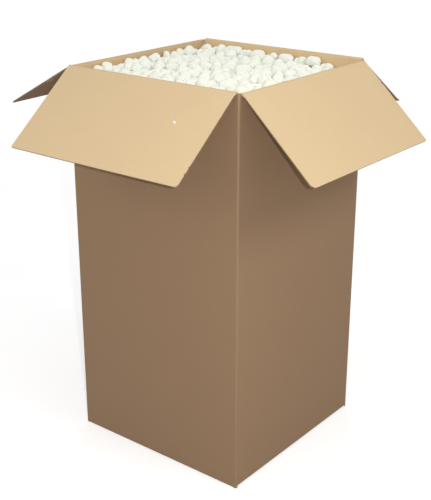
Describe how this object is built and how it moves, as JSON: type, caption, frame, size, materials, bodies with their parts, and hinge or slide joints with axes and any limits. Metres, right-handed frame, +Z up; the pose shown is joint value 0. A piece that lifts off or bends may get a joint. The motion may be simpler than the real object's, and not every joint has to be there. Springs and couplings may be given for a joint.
{
  "type": "open carton of packing peanuts",
  "caption": "Tall square corrugated carton, open at the top with its flaps folded out, filled to the brim with loose foam packing peanuts.",
  "frame": {"origin": "centre of the carton's base, on the floor", "axes": "+Z up, the carton's longest way; -Y out of the front wall, +X out of the right wall"},
  "size_m": [1.0813, 1.0786, 1.1438],
  "materials": {
    "kraft_board": "matte unbleached kraft liner",
    "foam_chips": "soft white expanded foam"
  },
  "bodies": {
    "carton": {"carton": "kraft_board", "chip_fill": "foam_chips"},
    "front_flap": {"front_flap": "kraft_board"},
    "right_flap": {"right_flap": "kraft_board"},
    "back_flap": {"back_flap": "kraft_board"},
    "left_flap": {"left_flap": "kraft_board"}
  },
  "joints": [
    {"name": "front_score", "type": "hinge", "parent": "carton", "child": "front_flap", "pos_m": [0, -0.3, 1.143], "axis": [-1, 0, 0], "range_deg": [-46.6, 219.4]},
    {"name": "right_score", "type": "hinge", "parent": "carton", "child": "right_flap", "pos_m": [0.3, 0, 1.1387], "axis": [0, -1, 0], "range_deg": [-42.8, 223.2]},
    {"name": "back_score", "type": "hinge", "parent": "carton", "child": "back_flap", "pos_m": [0, 0.3, 1.143], "axis": [1, 0, 0], "range_deg": [-51.9, 214.1]},
    {"name": "left_score", "type": "hinge", "parent": "carton", "child": "left_flap", "pos_m": [-0.3, 0, 1.1387], "axis": [0, 1, 0], "range_deg": [-57.8, 208.2]}
  ]
}
